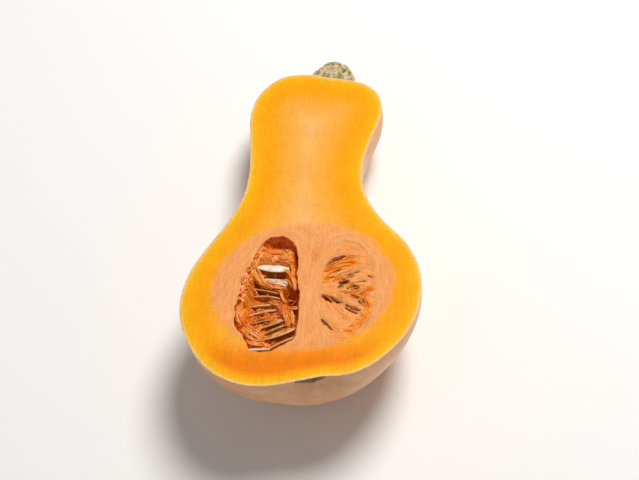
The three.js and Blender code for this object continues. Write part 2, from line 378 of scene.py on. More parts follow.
husk, husk_tree, husk_shader = material("seed husk", "#dfa869", Roughness=0.38, Specular_IOR_Level=0.3)
seed_meshes = []
for number in range(1, SEEDS + 1):
    node = frame["nodes"][f"seed_{number:02d}"]
    centre, along, across, upward, half_length = lie_of(node)
    half_length -= SEED_END_SLACK
    work = bmesh.new()
    bmesh.ops.create_uvsphere(work, u_segments=52, v_segments=24, radius=1)
    edge_layer, along_layer, across_layer, stain_layer = (
        work.verts.layers.float.new(name) for name in ("from_edge", "grain_along", "grain_across", "stain")
    )
    curl = 0.35 * math.sin(number * 2.1)
    for vert in work.verts:
        x, y, z = vert.co
        out = math.hypot(x, y)
        turn = math.atan2(y, x) if out > 1e-6 else 0
        taper = 1 - 0.13 * (1 - math.cos(turn)) ** 2
        u = out * math.cos(turn) * half_length
        v = out * math.sin(turn) * taper * SEED_HALF_WIDTH
        # A groove runs round the seed, just inside its rim.
        groove = 0.3 * math.exp(-(((out - 0.8) / 0.07) ** 2))
        thick = SEED_HALF_THICKNESS * (1 - 0.4 * abs(y)) * abs(z) ** 0.8 - groove * min(1, abs(z) * 3)
        wrinkle = ragged(Vector((u / 5, v / 1.3, number * 9 + z)), 1, 0.09) * min(1, abs(z) * 3)
        bend = curl * (v / SEED_HALF_WIDTH) ** 2
        lift = math.copysign(max(thick, 0.02), z) + wrinkle + bend
        if abs(z) < 1e-6:
            lift = bend
        vert[edge_layer] = (1 - out) * SEED_HALF_WIDTH
        vert[along_layer] = u + number * 31
        vert[across_layer] = v
        vert[stain_layer] = HUSK_STAIN.get(number, LEFT_STAIN if number <= LEFT_SEEDS else RIGHT_STAIN)
        vert.co = centre + along * u + across * v + upward * lift
    work.normal_update()
    mesh = mesh_of(work, f"seed {number}")
    mesh.materials.append(husk)
    seed_meshes.append(mesh)

# The seeds as they lie, for the pulp to be shaped round them.
every_seed = bmesh.new()
for mesh in seed_meshes:
    every_seed.from_mesh(mesh)
seed_tree = BVHTree.FromBMesh(every_seed)
every_seed.free()
left_seeds = bmesh.new()
for mesh in seed_meshes[:LEFT_SEEDS]:
    left_seeds.from_mesh(mesh)


def add(tree, kind, *inputs, **settings):
    """Adds a node with its settings and links. An input is a number, a hex colour, a node or its output."""
    node = tree.nodes.new("ShaderNode" + kind)
    by_name = {name.replace("_", " "): value for name, value in settings.items() if not hasattr(node, name)}
    for name, value in settings.items():
        if hasattr(node, name):
            setattr(node, name, value)
    for socket, value in [*zip(node.inputs, inputs), *((node.inputs[n], v) for n, v in by_name.items())]:
        if isinstance(value, bpy.types.Node):
            value = value.outputs[0]
        if isinstance(value, bpy.types.NodeSocket):
            tree.links.new(value, socket)
        elif value is not None:
            socket.default_value = linear(value) if isinstance(value, str) else value
    return node


# A dry husk with a satin shine. The eye sees fine lengthwise streaks, brown blots and a pale raised rim.
tree = husk_tree
along_seed = add(tree, "Attribute", attribute_name="grain_along")
across_seed = add(tree, "Attribute", attribute_name="grain_across")
grain = add(tree, "CombineXYZ", along_seed, across_seed)
streak_place = add(tree, "VectorMath", grain, (0.12, 1.6, 1), operation="MULTIPLY")
streaks = add(tree, "TexNoise", streak_place, Scale=1.0, Detail=4.0)
blots = add(tree, "TexNoise", grain, Scale=0.35, Detail=3.0)
blots = add(tree, "MapRange", blots, 0.35, 0.7, -0.22, 0.35)
stain = add(tree, "Attribute", attribute_name="stain")
stained = add(tree, "Math", stain, blots, operation="ADD", use_clamp=True)
ramp = add(tree, "ValToRGB", stained)
for position, colour in ((0.22, "#eedcbf"), (0.45, "#e0a256"), (0.7, "#c8761e")):
    ramp.color_ramp.elements.new(position).color = linear(colour)
ramp.color_ramp.elements[0].color = linear("#f3ecdf")
ramp.color_ramp.elements[-1].color = linear("#96450b")
shade = add(tree, "MapRange", streaks, 0.35, 0.65, 0.8, 1.08)
colour = add(tree, "VectorMath", ramp, Scale=shade, operation="SCALE")
from_edge = add(tree, "Attribute", attribute_name="from_edge")
rim = add(tree, "MapRange", from_edge, 0.15, 0.9, 0.8, 0.0)
rim_colour = add(tree, "MixRGB", stained, "#f0dcb6", "#d8984e")
colour = add(tree, "MixRGB", rim, colour, rim_colour)
tree.links.new(colour.outputs[0], husk_shader.inputs["Base Color"])
bump = add(tree, "Bump", Strength=0.35, Distance=0.0002, Height=streaks)
tree.links.new(bump.outputs["Normal"], husk_shader.inputs["Normal"])


def placed(holder, name, slot, *nodes):
    """Carries a finished mesh into the shared frame, names it, and hides the plain parts that it stands for.
    """
    holder.name = name
    holder.data.name = name
    holder.data.transform(to_shared)
    holder.data.shade_smooth()
    holder.data.set_sharp_from_angle(angle=math.radians(50))
    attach(holder, "root")
    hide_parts(*nodes)


for number, mesh in enumerate(seed_meshes, 1):
    side = "left" if number <= LEFT_SEEDS else "right"
    placed(object_of(mesh, mesh.name), f"{side}_seed_{number}", "seed", f"seed_{number:02d}")

# ---- Flesh and rind ----------------------------------------------------------------------------------------
# The flesh and its rind grew as one. The knife leaves a moist, finely granular face that is orange under the
# rind, paler inside and peach round the seeds; the rind is thin, hard, waxy and tan.


def from_rind(place):
    """How far the place is from the rind's outside."""
    return skin_tree.find_nearest(place)[3]


def from_seeds(place):
    """How far the place is from the nearer chamber's wall."""
    return min(tree.find_nearest(place)[3] for tree in chamber_trees)


def relief(place):
    """The cut's own height: it waves a little, as by hand, and is ringed round the chambers."""
    to_seeds = from_seeds(place)
    rings = 0.14 * fade(to_seeds, 10, 5) * noise.noise(Vector((to_seeds / 1.1, place.y / 11, 3)))
    return ragged(place, 34, 0.2) + ragged(place, 5, 0.1) + rings


def block_above(left, right, near, far, step, height_at, top=60):
    """A block whose underside is finely divided and lies at the given heights."""
    across, along = (right - left) / 2, (far - near) / 2
    work = bmesh.new()
    columns, rows = round(across * 2 / step), round(along * 2 / step)
    bmesh.ops.create_grid(work, x_segments=columns, y_segments=rows, size=1)
    for vert in work.verts:
        vert.co = Vector((left + across * (1 + vert.co.x), near + along * (1 + vert.co.y), 0))
        vert.co.z = height_at(vert.co)
    rim = [e for e in work.edges if e.is_boundary]
    for part in bmesh.ops.extrude_edge_only(work, edges=rim)["geom"]:
        if isinstance(part, bmesh.types.BMVert):
            part.co.z = top
    bmesh.ops.edgeloop_fill(work, edges=[e for e in work.edges if e.is_boundary])
    work.normal_update()
    bmesh.ops.recalc_face_normals(work, faces=work.faces)
    return work


def cut(holder, tool):
    """The holder's solid after the tool's has cut it. The new faces keep the tool's material."""
    knife = holder.modifiers.new("cut", "BOOLEAN")
    knife.operation = "DIFFERENCE"
    knife.solver = "MANIFOLD"
    knife.material_mode = "TRANSFER"
    knife.object = tool
    name = holder.name
    return object_of(applied(holder, name), name)


def tool_of(work, name, finish):
    holder = object_of(mesh_of(work, name), name)
    holder.data.materials.append(finish)
    return holder


rind, rind_tree, rind_shader = material(
    "waxy rind", "#dcaf82", Roughness=0.4, Coat_Weight=0.12, Coat_Roughness=0.3,
)
flesh, flesh_tree, flesh_shader = material(
    "cut squash flesh", "#f8a302", Roughness=0.45, Specular_IOR_Level=0.12, Subsurface_Weight=0.12,
    Subsurface_Radius=(1.0, 0.45, 0.12), Subsurface_Scale=0.0025,
)
whole.data.materials.append(rind)
above = block_above(left=-68, right=68, near=-6, far=204, step=0.85, height_at=relief)
block = tool_of(above, "knife block", flesh)
torn = tool_of(left_chamber(190, torn=True), "left chamber", flesh)
full_chamber = tool_of(right_chamber(110), "right chamber", flesh)

halved = cut(whole, block)
squash = cut(cut(halved, full_chamber), torn)
bpy.data.objects.remove(block)


def mark(mesh, name, value_at):
    """Stores a number at each point, worked out from its place, for the materials to follow."""
    layer = mesh.attributes.new(name, "FLOAT", "POINT")
    layer.data.foreach_set("value", [value_at(vert.co) for vert in mesh.vertices])


CORE_CENTRE = Vector((1, 55, 0))
CORE_HALF_WIDTH, CORE_HALF_LENGTH = 43.5, 37


def from_core(place):
    """0 in the middle of the peach tissue round the chambers, and 1 at its edge."""
    out = place - CORE_CENTRE
    return math.hypot(out.x / CORE_HALF_WIDTH, out.y / CORE_HALF_LENGTH)


def mark_flesh(mesh, wetness):
    """Stores what the flesh's material follows."""
    mark(mesh, "from_rind", from_rind)
    mark(mesh, "from_seeds", from_seeds)
    mark(mesh, "from_core", from_core)
    mark(mesh, "from_blossom_end", lambda place: place.y)
    mark(mesh, "below_cut", lambda place: -place.z)
    mark(mesh, "wet", wetness)


# Moist cut flesh: a soft gleam over fine grains, bands of orange that follow the rind, and a peach heart.
tree = flesh_tree
object_place = add(tree, "TexCoord").outputs["Object"]
place = add(tree, "VectorMath", object_place, (1000, 1000, 1000), operation="MULTIPLY")
under_rind = add(tree, "Attribute", attribute_name="from_rind")
DEEPEST = 32.0
ramp = add(tree, "ValToRGB", add(tree, "MapRange", under_rind, 0.0, DEEPEST))
# How far under the rind, and the flesh's colour there.
stops = [
    (0, "#e9cc9c"), (0.5, "#f3c379"), (1.1, "#f2be4e"), (2, "#f2b41f"), (3.2, "#faad0c"), (8, "#f8a302"),
    (12, "#f8a20c"), (16, "#f8a62c"), (22, "#f8ab40"), (27, "#f8b054"), (31, "#f8b466"),
]
while len(ramp.color_ramp.elements) < len(stops):
    ramp.color_ramp.elements.new(0.5)
for element, (deep, hex_colour) in zip(ramp.color_ramp.elements, stops):
    element.position = deep / DEEPEST
    element.color = linear(hex_colour)
# The tissue round the seeds is peach, ringed with fibres that follow the chambers' walls.
wander = add(tree, "TexNoise", place, Scale=1 / 7, Detail=3.0)
core = add(tree, "Attribute", attribute_name="from_core")
core = add(tree, "Math", wander, 0.12, core, operation="MULTIPLY_ADD")
peach = add(tree, "MapRange", core, 1.1, 0.99, interpolation_type="SMOOTHSTEP")
from_end = add(tree, "Attribute", attribute_name="from_blossom_end")
round_seeds = add(tree, "Attribute", attribute_name="from_seeds")
ring_place = add(tree, "CombineXYZ", round_seeds, add(tree, "Math", from_end, 0.09, operation="MULTIPLY"))
rings = add(tree, "TexNoise", ring_place, Scale=1.25, Detail=3.0, Roughness=0.6)
rings = add(tree, "MapRange", rings, 0.3, 0.7, interpolation_type="SMOOTHSTEP")
colour = add(tree, "MixRGB", peach, ramp, add(tree, "MixRGB", rings, "#ea9650", "#f1a86c"))
# The blossom end is a deeper orange.
deep_end = add(tree, "MapRange", from_end, 27.0, 12.0, interpolation_type="SMOOTHSTEP")
inside = add(tree, "MapRange", under_rind, 3.0, 8.0, 0.0, 0.85, interpolation_type="SMOOTHSTEP")
deep_end = add(tree, "Math", deep_end, inside, operation="MULTIPLY")
unpeached = add(tree, "MapRange", peach, 0.0, 1.0, 1.0, 0.3)
deep_end = add(tree, "Math", deep_end, unpeached, operation="MULTIPLY")
colour = add(tree, "MixRGB", deep_end, colour, "#ee7804")
# Fibres 0.9 mm apart run up the neck. Grains of 0.7 mm, drawn coarser than the real cells so that they show,
# and wide clouds cover the face.
fibre_place = add(tree, "VectorMath", object_place, (1000 / 0.9, 1000 / 11, 1000 / 9), operation="MULTIPLY")
fibres = add(tree, "TexNoise", fibre_place, Scale=1.0, Detail=3.0, Roughness=0.6)
grains = add(tree, "TexNoise", place, Scale=1 / 0.7, Detail=4.0, Roughness=0.6)
clouds = add(tree, "TexNoise", place, Scale=1 / 9, Detail=3.0, Roughness=0.6)
for noise_node, low, high in ((fibres, 0.955, 1.045), (grains, 0.9, 1.09), (clouds, 0.965, 1.035)):
    light = add(tree, "MapRange", noise_node, 0.3, 0.7, low, high, interpolation_type="SMOOTHSTEP")
    colour = add(tree, "VectorMath", colour, Scale=light, operation="SCALE")
# Pulp that is wet and stringy is a stronger orange. The chambers' walls are painted darker and redder as they
# go down: partly their own stronger orange, and partly painted shade of the deep chamber.
string_place = add(tree, "VectorMath", object_place, (1000 / 4, 1000, 1000 / 1.5), operation="MULTIPLY")
strings = add(tree, "TexNoise", string_place, Scale=1.0, Detail=3.0, Roughness=0.6)
strings = add(tree, "MapRange", strings, 0.35, 0.65, interpolation_type="SMOOTHSTEP")
wet_orange = add(tree, "MixRGB", strings, "#ea6e08", "#fba02a")
colour = add(tree, "MixRGB", add(tree, "Attribute", attribute_name="wet"), colour, wet_orange)
wall_mottle = add(tree, "TexNoise", place, Scale=1 / 2.2, Detail=3.0, Roughness=0.6)
wall_mottle = add(tree, "MapRange", wall_mottle, 0.35, 0.65, interpolation_type="SMOOTHSTEP")
wall_colour_and_shade = add(tree, "MixRGB", wall_mottle, "#d9641a", "#f7aa60")
# Painted shade: the chambers' walls are darkened with depth below the cut, over their own stronger orange.
below = add(tree, "Attribute", attribute_name="below_cut")
wall_depth_shade = add(tree, "MapRange", below, 0.8, 6.0, 0.0, 0.85, interpolation_type="SMOOTHSTEP")
colour = add(tree, "MixRGB", wall_depth_shade, colour, wall_colour_and_shade)
colour = add(tree, "MixRGB", add(tree, "Attribute", attribute_name="over_seed"), colour, "#ab8466")
# Painted shade: the slits in the right pulp go dark red-brown further down.
colour = add(tree, "MixRGB", add(tree, "Attribute", attribute_name="slit_painted_shade"), colour, "#7a2a0c")
light = add(tree, "Math", 1.0, add(tree, "Attribute", attribute_name="fibre"), operation="ADD")
colour = add(tree, "VectorMath", colour, Scale=light, operation="SCALE")
tree.links.new(colour.outputs[0], flesh_shader.inputs["Base Color"])
height = add(tree, "Math", grains, add(tree, "Math", fibres, 0.5, operation="MULTIPLY"), operation="ADD")
bump = add(tree, "Bump", Strength=0.5, Distance=0.00025, Height=height)
tree.links.new(bump.outputs["Normal"], flesh_shader.inputs["Normal"])

# Hard waxy rind: tan with faint lengthwise streaks, pale mottles and a few dark specks and scuffs, and brown
# cork where the blossom was. The thin wax gives broad, soft highlights.
tree = rind_tree
object_place = add(tree, "TexCoord").outputs["Object"]
place = add(tree, "VectorMath", object_place, (1000, 1000, 1000), operation="MULTIPLY")
mottles = add(tree, "TexNoise", place, Scale=1 / 12, Detail=3.0, Roughness=0.6)
mottles = add(tree, "MapRange", mottles, 0.3, 0.7, interpolation_type="SMOOTHSTEP")
colour = add(tree, "MixRGB", mottles, "#e8a468", "#f4bb88")
streak_size = (1000 / 3.2, 1000 / 40, 1000 / 3.2)
streak_place = add(tree, "VectorMath", object_place, streak_size, operation="MULTIPLY")
streaks = add(tree, "TexNoise", streak_place, Scale=1.0, Detail=3.0, Roughness=0.6)
streaks = add(tree, "MapRange", streaks, 0.45, 0.75, 0.0, 0.5, interpolation_type="SMOOTHSTEP")
colour = add(tree, "MixRGB", streaks, colour, "#cf9b69")
specks = add(tree, "TexVoronoi", place, Scale=1 / 7.5)
specks = add(tree, "MapRange", specks, 0.075, 0.03, 0.0, 0.55, interpolation_type="SMOOTHSTEP")
colour = add(tree, "MixRGB", specks, colour, "#a5713f")
scuff_place = add(tree, "VectorMath", object_place, (1000 / 0.8, 1000 / 7, 1000 / 3), operation="MULTIPLY")
scuffs = add(tree, "TexNoise", scuff_place, Scale=1.0, Detail=3.0, Roughness=0.6)
scuffs = add(tree, "MapRange", scuffs, 0.72, 0.78, 0.0, 0.4, interpolation_type="SMOOTHSTEP")
colour = add(tree, "MixRGB", scuffs, colour, "#b98254")
crumbs = add(tree, "TexNoise", place, Scale=1 / 1.3, Detail=3.0, Roughness=0.6)
from_scar = add(tree, "Attribute", attribute_name="from_scar")
scar_edge = add(tree, "Math", crumbs, 2.5, from_scar, operation="MULTIPLY_ADD")
scar_edge = add(tree, "MapRange", scar_edge, 9.0, 8.2, interpolation_type="SMOOTHSTEP")
crumbs = add(tree, "MapRange", crumbs, 0.35, 0.65, interpolation_type="SMOOTHSTEP")
colour = add(tree, "MixRGB", scar_edge, colour, add(tree, "MixRGB", crumbs, "#6e3f16", "#a8743c"))
from_stem = add(tree, "Attribute", attribute_name="from_stem")
round_stem = add(tree, "MapRange", from_stem, 14.5, 11.5, 0.0, 0.45, interpolation_type="SMOOTHSTEP")
colour = add(tree, "MixRGB", round_stem, colour, "#b9a566")
tree.links.new(colour.outputs[0], rind_shader.inputs["Base Color"])
pores = add(tree, "TexNoise", place, Scale=1 / 2.5, Detail=3.0)
bump = add(tree, "Bump", Strength=0.25, Distance=0.0003, Height=pores)
tree.links.new(bump.outputs["Normal"], rind_shader.inputs["Normal"])

SCAR = Vector((8, 3.5, 0))
STEM_ROOT = Vector((STEM_AXIS.x, 186, STEM_AXIS.z))
WALL_TUFT = Vector((7.2, 72.5, 0))
mark_flesh(squash.data, lambda place: 0.5 * fade((place - WALL_TUFT).length, 4.5, 1.5))
# The scar is three times as wide as it is deep.
mark(squash.data, "from_scar", lambda place: ((place - SCAR) * Vector((1, 1, 3))).length)
mark(squash.data, "from_stem", lambda place: (place - STEM_ROOT).length)
placed(squash, "squash_half", "flesh", "flesh")

# ---- Right pulp --------------------------------------------------------------------------------------------
# The full chamber's pulp, cut flush. Its fibres fan out from the middle wall and turn into rings by the rind.
# It has parted in slits and holes along the seeds, and it is wet and bright orange between them.

FAN = Vector((7.5, 54, 0))
RING_CENTRE = Vector((24, 46, 0))
# Each slit's path on the cut, its half width and its depth.
SLITS = [
    ([(9.6, 63.9), (13.1, 67.2), (15.6, 69.2), (20.6, 71.2)], 1.3, 5),
    ([(21.8, 58.9), (25.3, 60.4)], 0.95, 4),
    ([(18.3, 55.9), (20.6, 56.5), (23.0, 56.4)], 1.5, 6),
    ([(17.9, 53.4), (20.9, 53.7)], 0.9, 4),
    ([(22.2, 52.4), (25.2, 53.4), (27.9, 53.4)], 1.25, 5),
    ([(9.4, 49.5), (13.8, 47.3), (16.8, 45.9), (20.4, 44.8)], 1.35, 6),
    ([(28.0, 45.1), (31.2, 44.5)], 1.0, 4),
    ([(32.1, 59.4), (33.8, 58.8), (35.1, 56.9)], 0.7, 3),
    ([(22.4, 43.2), (26.0, 41.4), (29.2, 39.6)], 0.85, 3),
    ([(11.6, 34.6), (14.2, 31.6), (16.6, 29.8)], 0.6, 2),
    ([(14.8, 62.3), (19.6, 63.9)], 0.7, 3),
    ([(24.2, 48.9), (28.6, 47.2)], 0.75, 3),
    ([(12.5, 57.8), (17.5, 60.2)], 0.6, 2),
]
# Each wet patch's path on the cut, and its half width.
WET_PATCHES = [
    ([(10, 61), (13, 63.6), (18, 65.4), (25, 67.6)], 3.4),
    ([(21.6, 70), (25.6, 69)], 2.6),
    ([(12, 57.6), (16, 58.6), (19, 58.6)], 2.0),
    ([(34.6, 53), (31, 50), (29.4, 48), (33, 43), (31.6, 38), (27.6, 32.6), (23.6, 28.9)], 2.4),
    ([(22, 50.4), (28, 51.4)], 1.5),
]


def from_path(place, path):
    """How far the place is from the path, and how far along the path it is, from 0 to 1."""
    nearest = (1e9, 0)
    for i, ((ax, ay), (bx, by)) in enumerate(zip(path, path[1:])):
        along = Vector((bx - ax, by - ay))
        out = Vector((place.x - ax, place.y - ay))
        part = min(max(out.dot(along) / along.length_squared, 0), 1)
        nearest = min(nearest, ((out - along * part).length, (i + part) / (len(path) - 1)))
    return nearest


def right_wetness(place):
    """How wet and bright the pulp is, from 0 to 1."""
    wander = ragged(place, 2.2, 1.3)
    wettest = max(fade(from_path(place, path)[0] + wander, wide, wide * 0.4) for path, wide in WET_PATCHES)
    return max(0.9 * wettest, 0.22 + ragged(place, 4, 0.35))


def right_fibres(place):
    """The fibres' height, from -1 to 1. They fan out from the wall, and turn into rings by the rind."""
    fan = place - FAN
    out = place - RING_CENTRE
    ringed = fade(out.length, 10, 14)
    fans = noise.noise(Vector((math.atan2(fan.y, fan.x) * 15, fan.length / 9, 5)))
    fans += 0.6 * noise.noise(Vector((math.atan2(fan.y, fan.x) * 34, fan.length / 6, 15)))
    rings = noise.noise(Vector((out.length / 0.8, math.atan2(out.y, out.x) * 2.4, 8)))
    return fans * (1 - ringed) + rings * ringed * 0.7


def seed_under(place):
    """How far under the cut the nearest seed lies there."""
    above = seed_tree.ray_cast(Vector((place.x, place.y, 8)), Vector((0, 0, -1)))[0]
    return 99 if above is None else -above.z


def slit_depth(place):
    """How deep the slits go there. Each is widest and deepest in its middle."""
    deepest = 0
    for path, wide, deep in SLITS:
        gap, part = from_path(place, path)
        gap += ragged(place, 1.8, 0.4) + ragged(place, 0.8, 0.15)
        wide *= max(4 * part * (1 - part), 0.02) ** 0.5
        if gap < wide:
            deepest = max(deepest, deep * (1 - max(gap, 0) / wide) ** 0.6)
    return deepest


def right_surface(place):
    """The height of the right pulp's face, with its slits and the fans and rings of its fibres."""
    inner = fade(chamber_trees[1].find_nearest(place)[3], 0.3, 2.5)
    wet = right_wetness(place)
    height = relief(place) + inner * (0.42 * right_fibres(place) * (1 + 1.2 * wet) - 0.4 * wet)
    height = min(height, -slit_depth(place) * inner)
    if seed_under(place) < 1.6:
        height = min(height, -seed_under(place) - 0.45)
    return height


def on_path(path, part):
    """A point of the smooth curve through the path's points, and the curve's direction there."""
    spans = len(path) - 1
    span = min(int(part * spans), spans - 1)
    t = part * spans - span
    a, b, c, d = (Vector(path[min(max(span + i, 0), spans)]) for i in (-1, 0, 1, 2))
    square, cube = 2 * a - 5 * b + 4 * c - d, 3 * b - a - 3 * c + d
    point = 0.5 * (2 * b + (c - a) * t + square * t * t + cube * t ** 3)
    slope = 0.5 * ((c - a) + 2 * square * t + 3 * cube * t * t)
    return point, slope.normalized()


def strand(work, path, wide, thick, steps=34):
    """A band of pulp along a path, drawn out to nothing at both ends."""
    skin = bmesh.ops.create_grid(work, x_segments=steps, y_segments=8, size=1)["verts"]
    for vert in skin:
        along, turn = (vert.co.x + 1) / 2, vert.co.y * math.pi
        point, heading = on_path(path, along)
        side = heading.cross(Vector((0, 0, 1))).normalized()
        swell = math.sin(math.pi * along) ** 0.6 if 0 < along < 1 else 0
        cords = noise.noise(Vector((math.cos(turn) * 1.6, math.sin(turn) * 1.6, along * 4 + wide * 50)))
        swell *= 1 + 0.4 * noise.noise(point / 1.5) + 0.35 * cords
        vert.co = point + side * (math.cos(turn) * wide * swell)
        vert.co += side.cross(heading) * (math.sin(turn) * thick * swell)
        vert.co += Vector((0, 0, 0.25 * noise.noise(point / 1.1)))
    bmesh.ops.remove_doubles(work, verts=skin, dist=0.004)


def joined_to(holder, work, finish):
    """Adds the work's shapes to the holder's mesh."""
    work.normal_update()
    bmesh.ops.recalc_face_normals(work, faces=work.faces)
    extra = tool_of(work, "extra", finish)
    both = bmesh.new()
    both.from_mesh(holder.data)
    both.from_mesh(extra.data)
    both.to_mesh(holder.data)
    both.free()
    bpy.data.objects.remove(extra)


above = block_above(left=7, right=38, near=20, far=82, step=0.33, height_at=right_surface)
face = tool_of(above, "right face", flesh)
right_pulp = cut(full_chamber, face)
bpy.data.objects.remove(face)

# Bright cords along the wet patches.
chance = random.Random(4)
work = bmesh.new()
for path, _ in WET_PATCHES * 5:
    shift = chance.gauss(0, 0.9)
    cord = []
    for x, y in path if len(path) > 2 else (path[0], path[0], path[1]):
        shift += chance.gauss(0, 0.5)
        cord.append(Vector((x + chance.gauss(0, 0.6), y + shift, chance.uniform(-0.5, 0.1))))
    size = chance.uniform(0.16, 0.36)
    strand(work, cord, size, size, steps=24)

# Thin fibres out from the wall and over the slits, kept clear of the chamber's edge.
for _ in range(26):
    turn = math.radians(chance.uniform(-50, 48))
    near, far = chance.uniform(4, 12), chance.uniform(14, 24)
    cord = []
    for i in range(4):
        reach = near + (far - near) * i / 3
        point = FAN + Vector((math.cos(turn), math.sin(turn), 0)) * reach
        point.z = chance.uniform(-0.45, 0.05)
        turn += chance.gauss(0, 0.03)
        cord.append(point)
    size = chance.uniform(0.12, 0.26)
    if all((point - RIGHT_CENTRE).length < 24 and point.x < 34 for point in cord):
        strand(work, cord, size, size, steps=24)

# The tuft at the top of the middle wall.
for path in [
    [(5.2, 71.6, -0.1), (7.2, 74.6, 0.1), (9.6, 77.6, -0.1)],
    [(5.6, 70.2, -0.1), (7.8, 73.2, 0.1), (10, 75.4, -0.1)],
    [(4.8, 73, -0.1), (6, 75.8, 0.1), (8, 78, -0.1)],
    [(6.2, 67.6, -0.1), (6.8, 70.6, 0.1), (6.2, 73.6, -0.1)],
    [(5, 68.4, -0.1), (5.4, 71, 0.1), (7, 73, -0.1)],
]:
    strand(work, path, 0.35, 0.3, steps=20)
joined_to(right_pulp, work, flesh)
mark_flesh(right_pulp.data, right_wetness)
mark(right_pulp.data, "fibre", lambda place: 0.22 * right_fibres(place))
mark(right_pulp.data, "over_seed", lambda place: 0.35 * fade(seed_under(place), 4.5, 1.5))
# Painted shade for the slits: none at the cut, and nearly full dark red-brown 3 mm down.
mark(right_pulp.data, "slit_painted_shade", lambda place: 0.85 * fade(-place.z, 0.8, 3))
placed(right_pulp, "right_pulp", "pulp", "pulp_right")

# ---- Left pulp ---------------------------------------------------------------------------------------------
# What is left in the open chamber: a bed of torn, wet, stringy pulp that holds the seeds, with a shelf at the
# stem end, a deep hollow by the middle wall, and strands and skins of pulp drawn over and between the seeds.

BED_LEVEL = -8.6
# The bed's hills and hollows: the middle in X and Y, the half width and half length, and the height.
HILLS = [
    (-3, 52, 5.5, 6, -10), (-9, 65.2, 9, 1.8, -2.5), (-21.5, 29, 4.6, 3.8, 6.2), (-28, 41, 3.2, 6, 5),
    (-5, 62, 3.4, 5, 4), (-4.5, 39, 3, 4, 3), (-8, 57.5, 5, 1.6, 2.5),
]


def left_surface(place):
    """The height of the left pulp's face."""
    out = place - LEFT_CENTRE
    from_rim = rim_reach(math.atan2(out.y, out.x)) - out.length
    shelf = 6.6 * fade(place.y, 68.2, 70.4) * fade(place.y, 79, 76.6) * fade(place.x, -3, -6)
    height = BED_LEVEL + shelf
    for x, y, wide, long, high in HILLS:
        height += high * math.exp(-(((place.x - x) / wide) ** 2) - ((place.y - y) / long) ** 2)
    strings = noise.noise(Vector((place.x / 5 + place.y / 14, place.y / 0.85, 2)))
    height += 0.9 * strings + ragged(place, 3.2, 1.6) + ragged(place, 1.3, 0.8)
    # Along the left wall the tissue has torn but not come away. It is full of small holes.
    torn_edge = fade(from_rim, 6.5, 3.5) * fade(place.x, -15, -20) * fade(place.y, 42, 47)
    holes = noise.noise(Vector((place.x / 1.5, place.y / 2.1, 11)))
    level = -1.3 + ragged(place, 2.6, 1.0) + 0.5 * strings - 5 * fade(holes, 0.16, 0.42)
    height += (level - height) * torn_edge
    return min(height, -0.5)


pulp, pulp_tree, pulp_shader = material(
    "wet stringy pulp", "#f08a1e", Roughness=0.34, Subsurface_Weight=0.15,
    Subsurface_Radius=(1.0, 0.4, 0.1), Subsurface_Scale=0.0015,
)
above = block_above(left=-33, right=4, near=14, far=89, step=0.36, height_at=left_surface)
bed_face = tool_of(above, "left face", pulp)
torn.data.materials[0] = pulp
left_pulp = cut(torn, bed_face)
bpy.data.objects.remove(bed_face)

# Each seed lies in a nest a little larger than itself.
NEST_GAP = 0.12
outward = [vert.normal.copy() for vert in left_seeds.verts]
for vert, out in zip(left_seeds.verts, outward):
    vert.co += out * NEST_GAP
nests = tool_of(left_seeds, "seeds' nests", pulp)
left_pulp = cut(left_pulp, nests)
bpy.data.objects.remove(nests)


def sac(work, centre, size, turn):
    """A closed skin of pulp where a seed has been."""
    skin = bmesh.ops.create_icosphere(work, subdivisions=4, radius=1)["verts"]
    for vert in skin:
        crumple = 1 + 0.2 * noise.noise(vert.co * 1.6 + Vector(centre)) + 0.08 * noise.noise(vert.co * 5)
        vert.co = Vector([c * s for c, s in zip(vert.co * crumple, size)])
    bmesh.ops.rotate(work, verts=skin, matrix=Matrix.Rotation(math.radians(turn), 3, "Z"))
    bmesh.ops.translate(work, verts=skin, vec=centre)


chance = random.Random(7)


def bundle(work, path, wide, thick):
    """A thin band, with finer cords of pulp along it."""
    strand(work, path, wide * 0.8, thick * 0.6)
    for _ in range(round(wide * 5)):
        shift = chance.uniform(-wide, wide)
        cord = []
        for i, point in enumerate(path):
            ahead = Vector(path[min(i + 1, len(path) - 1)]) - Vector(path[max(i - 1, 0)])
            side = ahead.cross(Vector((0, 0, 1))).normalized()
            shift += chance.gauss(0, 0.35 * wide)
            lift = Vector((0, 0, chance.uniform(-0.1, thick * 1.3)))
            cord.append(Vector(point) + side * shift * 0.8 + lift)
        size = chance.uniform(0.16, 0.34)
        strand(work, cord, size, size, steps=26)


